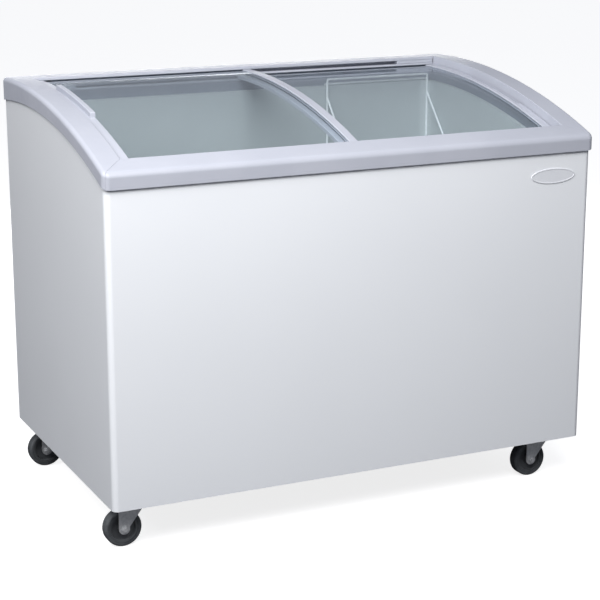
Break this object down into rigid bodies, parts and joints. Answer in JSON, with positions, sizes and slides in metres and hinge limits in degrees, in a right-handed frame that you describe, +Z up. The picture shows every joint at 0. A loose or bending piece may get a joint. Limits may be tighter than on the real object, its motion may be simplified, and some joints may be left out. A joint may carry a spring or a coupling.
{
  "type": "chest freezer",
  "caption": "Display chest freezer with sliding curved glass lids over an insulated tub, a hanging wire basket, a rear machine space and swivel castors.",
  "frame": {"origin": "on the floor under the middle of the cabinet", "axes": "+X to the right seen from the front, +Y towards the rear, +Z up; the front faces -Y"},
  "size_m": [1.058, 0.648, 0.8502],
  "materials": {
    "white_enamel": "gloss white enamel on sheet steel",
    "zinc_sheet": "zinc-plated steel",
    "foam": "polyurethane foam",
    "liner_sheet": "white-coated embossed aluminium",
    "collar_plastic": "grey plastic",
    "copper_tube": "bare copper",
    "frame_plastic": "pale lavender-grey moulded plastic, satin gloss",
    "badge_plate": "blank silvery white oval plate",
    "lid_glass": "clear tempered glass, faint green-grey",
    "strip_plastic": "pale lavender-grey plastic, a little lighter than the frame",
    "brush_fibre": "black nylon pile",
    "basket_wire": "white plastic-dipped steel wire",
    "compressor_enamel": "black enamel",
    "black_rubber": "black rubber",
    "grille_plastic": "dark grey moulded plastic",
    "thermostat_housing": "zinc-plated steel housing",
    "dial_plastic": "black moulded plastic",
    "drain_plastic": "grey plastic",
    "castor_zinc": "bright zinc-plated pressed steel",
    "hub_plastic": "dark grey moulded plastic",
    "castor_rubber": "grey-black rubber tread"
  },
  "bodies": {
    "cabinet": {"outer_wrap": "white_enamel", "rear_panel": "white_enamel", "base_pan": "zinc_sheet", "foam_insulation": "foam", "liner": "liner_sheet", "breaker_collar": "collar_plastic", "evaporator_tube": "copper_tube", "condenser_tube": "copper_tube", "front_rail": "frame_plastic", "rear_rail": "frame_plastic", "side_frame_left": "frame_plastic", "side_frame_right": "frame_plastic", "track_stop_right": "frame_plastic", "track_stop_left": "frame_plastic", "badge": "badge_plate", "machine_shroud": "zinc_sheet", "compressor": "compressor_enamel", "compressor_feet": "black_rubber", "relay_box": "compressor_enamel", "filter_drier": "copper_tube", "refrigerant_pipes": "copper_tube", "rear_grille": "grille_plastic", "grille_screws": "zinc_sheet", "thermostat_body": "thermostat_housing", "cord_gland": "black_rubber", "drain_tube": "drain_plastic", "castor_bolts": "zinc_sheet", "castor_plate_fl": "castor_zinc", "castor_plate_fr": "castor_zinc", "castor_plate_rl": "castor_zinc", "castor_plate_rr": "castor_zinc"},
    "left_lid": {"left_glass": "lid_glass", "left_grip_strip": "strip_plastic", "left_inner_strip": "strip_plastic", "left_slides": "collar_plastic", "left_brush": "brush_fibre"},
    "right_lid": {"right_glass": "lid_glass", "right_grip_strip": "strip_plastic", "right_inner_strip": "strip_plastic", "right_slides": "collar_plastic"},
    "wire_basket": {"basket": "basket_wire"},
    "thermostat_dial": {"thermostat_knob": "dial_plastic"},
    "tub_drain_plug": {"drain_plug": "drain_plastic"},
    "outlet_cap": {"drain_cap": "drain_plastic"},
    "castor_swivel_fl": {"castor_fork_fl": "castor_zinc", "castor_axle_fl": "castor_zinc"},
    "castor_wheel_fl": {"castor_hub_fl": "hub_plastic", "castor_tyre_fl": "castor_rubber"},
    "castor_swivel_fr": {"castor_fork_fr": "castor_zinc", "castor_axle_fr": "castor_zinc"},
    "castor_wheel_fr": {"castor_hub_fr": "hub_plastic", "castor_tyre_fr": "castor_rubber"},
    "castor_swivel_rl": {"castor_fork_rl": "castor_zinc", "castor_axle_rl": "castor_zinc"},
    "castor_wheel_rl": {"castor_hub_rl": "hub_plastic", "castor_tyre_rl": "castor_rubber"},
    "castor_swivel_rr": {"castor_fork_rr": "castor_zinc", "castor_axle_rr": "castor_zinc"},
    "castor_wheel_rr": {"castor_hub_rr": "hub_plastic", "castor_tyre_rr": "castor_rubber"}
  },
  "joints": [
    {"name": "left_lid_slide", "type": "slide", "parent": "cabinet", "child": "left_lid", "axis": [1, 0, 0], "range_m": [0, 0.37]},
    {"name": "right_lid_slide", "type": "slide", "parent": "cabinet", "child": "right_lid", "axis": [1, 0, 0], "range_m": [-0.37, 0]},
    {"name": "basket_slide", "type": "slide", "parent": "cabinet", "child": "wire_basket", "axis": [1, 0, 0], "range_m": [-0.645, 0]},
    {"name": "thermostat_turn", "type": "hinge", "parent": "cabinet", "child": "thermostat_dial", "pos_m": [0.283, 0.318, 0.284], "axis": [0, -1, 0], "range_deg": [-270, 0]},
    {"name": "drain_plug_pull", "type": "slide", "parent": "cabinet", "child": "tub_drain_plug", "axis": [0, 0, 1], "range_m": [0, 0.03]},
    {"name": "drain_cap_pull", "type": "slide", "parent": "cabinet", "child": "outlet_cap", "axis": [0, 0, -1], "range_m": [0, 0.02]},
    {"name": "swivel_fl", "type": "hinge", "parent": "cabinet", "child": "castor_swivel_fl", "pos_m": [-0.463, -0.252, 0.085], "axis": [0, 0, 1], "continuous": true},
    {"name": "wheel_spin_fl", "type": "hinge", "parent": "castor_swivel_fl", "child": "castor_wheel_fl", "pos_m": [-0.487, -0.252, 0.0375], "axis": [0, 1, 0], "continuous": true},
    {"name": "swivel_fr", "type": "hinge", "parent": "cabinet", "child": "castor_swivel_fr", "pos_m": [0.463, -0.252, 0.085], "axis": [0, 0, 1], "continuous": true},
    {"name": "wheel_spin_fr", "type": "hinge", "parent": "castor_swivel_fr", "child": "castor_wheel_fr", "pos_m": [0.439, -0.252, 0.0375], "axis": [0, 1, 0], "continuous": true},
    {"name": "swivel_rl", "type": "hinge", "parent": "cabinet", "child": "castor_swivel_rl", "pos_m": [-0.463, 0.252, 0.085], "axis": [0, 0, 1], "continuous": true},
    {"name": "wheel_spin_rl", "type": "hinge", "parent": "castor_swivel_rl", "child": "castor_wheel_rl", "pos_m": [-0.487, 0.252, 0.0375], "axis": [0, 1, 0], "continuous": true},
    {"name": "swivel_rr", "type": "hinge", "parent": "cabinet", "child": "castor_swivel_rr", "pos_m": [0.463, 0.252, 0.085], "axis": [0, 0, 1], "continuous": true},
    {"name": "wheel_spin_rr", "type": "hinge", "parent": "castor_swivel_rr", "child": "castor_wheel_rr", "pos_m": [0.439, 0.252, 0.0375], "axis": [0, 1, 0], "continuous": true}
  ]
}
